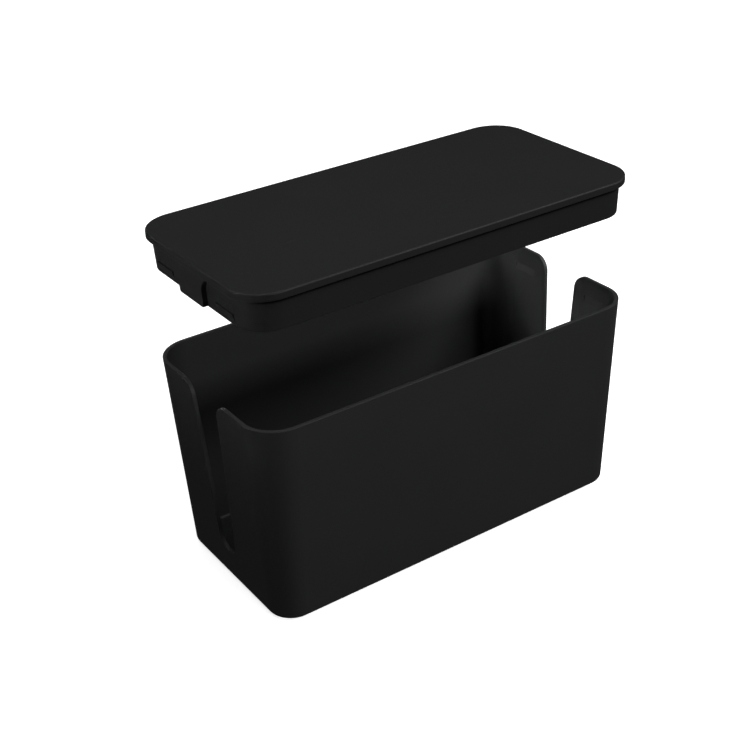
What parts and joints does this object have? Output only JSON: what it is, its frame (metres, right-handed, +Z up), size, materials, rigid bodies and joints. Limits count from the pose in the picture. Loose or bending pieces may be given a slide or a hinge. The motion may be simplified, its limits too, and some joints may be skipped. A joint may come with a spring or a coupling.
{
  "type": "cable management box",
  "caption": "Small rectangular cable box: a deep drafted tub with a round-bottomed cable notch in each end and a lift-off snap lid with a tab that closes each notch.",
  "frame": {"origin": "centre of the ground contact: the middle of the box, level with the undersides of the feet", "axes": "+X along the length, +Y across towards the back, +Z up, the way the lid lifts"},
  "size_m": [0.2356, 0.116, 0.1889],
  "materials": {
    "tub_plastic": "fine matt mould grain",
    "lid_plastic": "fine matt mould grain",
    "foot_rubber": "dull moulded rubber"
  },
  "bodies": {
    "tub_body": {"tub": "tub_plastic", "foot_front_left": "foot_rubber", "foot_front_right": "foot_rubber", "foot_rear_left": "foot_rubber", "foot_rear_right": "foot_rubber"},
    "lid_body": {"lid": "lid_plastic"}
  },
  "joints": [
    {"name": "lid_lift", "type": "slide", "parent": "tub_body", "child": "lid_body", "axis": [0, 0, 1], "range_m": [-0.0677, 0.0323]}
  ]
}
